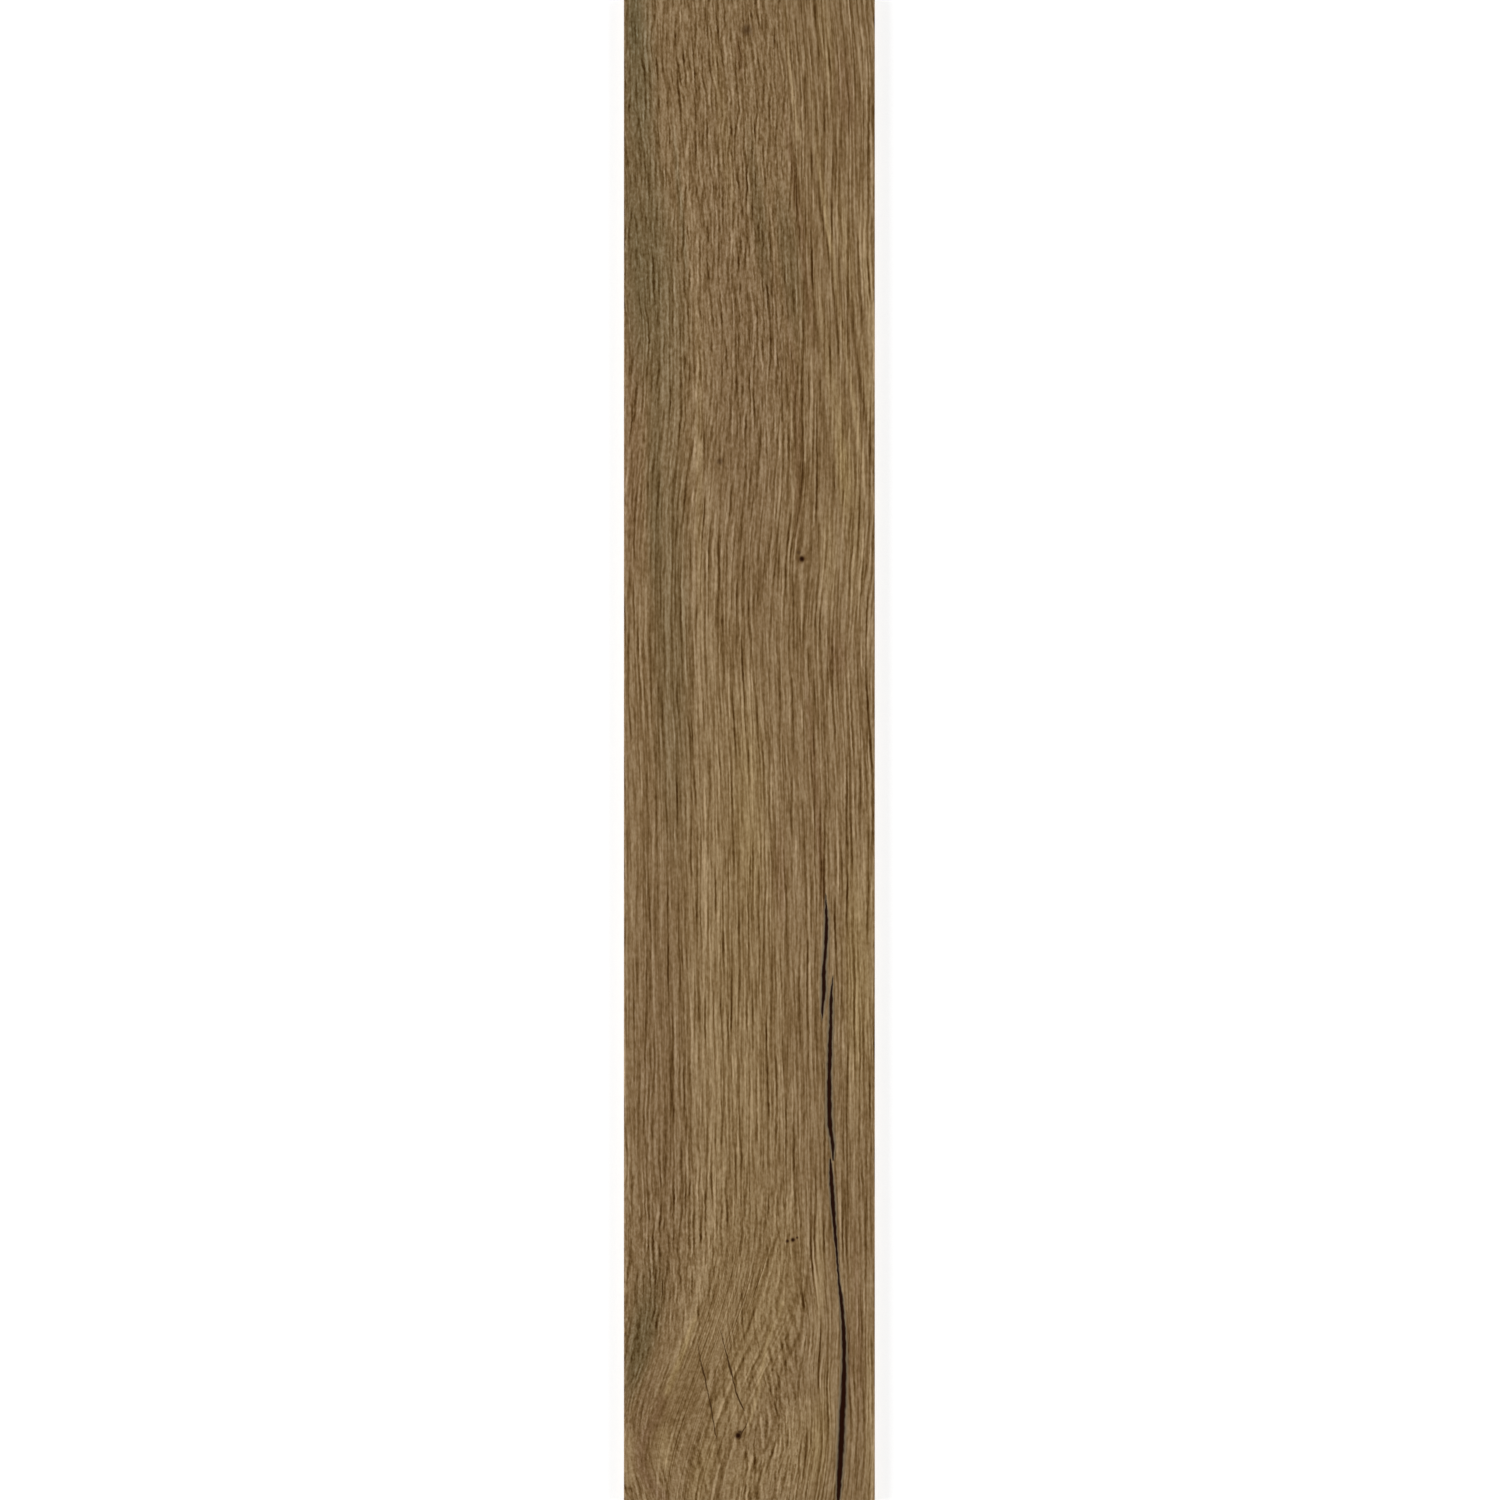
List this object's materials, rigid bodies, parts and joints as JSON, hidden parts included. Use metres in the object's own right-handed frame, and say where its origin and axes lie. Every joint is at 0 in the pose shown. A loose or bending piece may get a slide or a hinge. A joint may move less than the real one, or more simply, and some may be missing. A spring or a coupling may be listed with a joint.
{
  "type": "wood-look stoneware plank tile",
  "caption": "Long rectangular glazed stoneware plank tile with an oak-look face, fine bevelled edges and a keyed back, bedded in adhesive to cover floors or walls.",
  "frame": {"origin": "centre of the back, on the plane of its ribs, which is the bed that the tile lies on", "axes": "+Z out of the glazed face, +Y along the plank, +X across the plank"},
  "size_m": [0.2, 1.2, 0.009],
  "materials": {
    "glazed_stoneware": "matte"
  },
  "bodies": {
    "root": {"tile": "glazed_stoneware"}
  },
  "joints": []
}
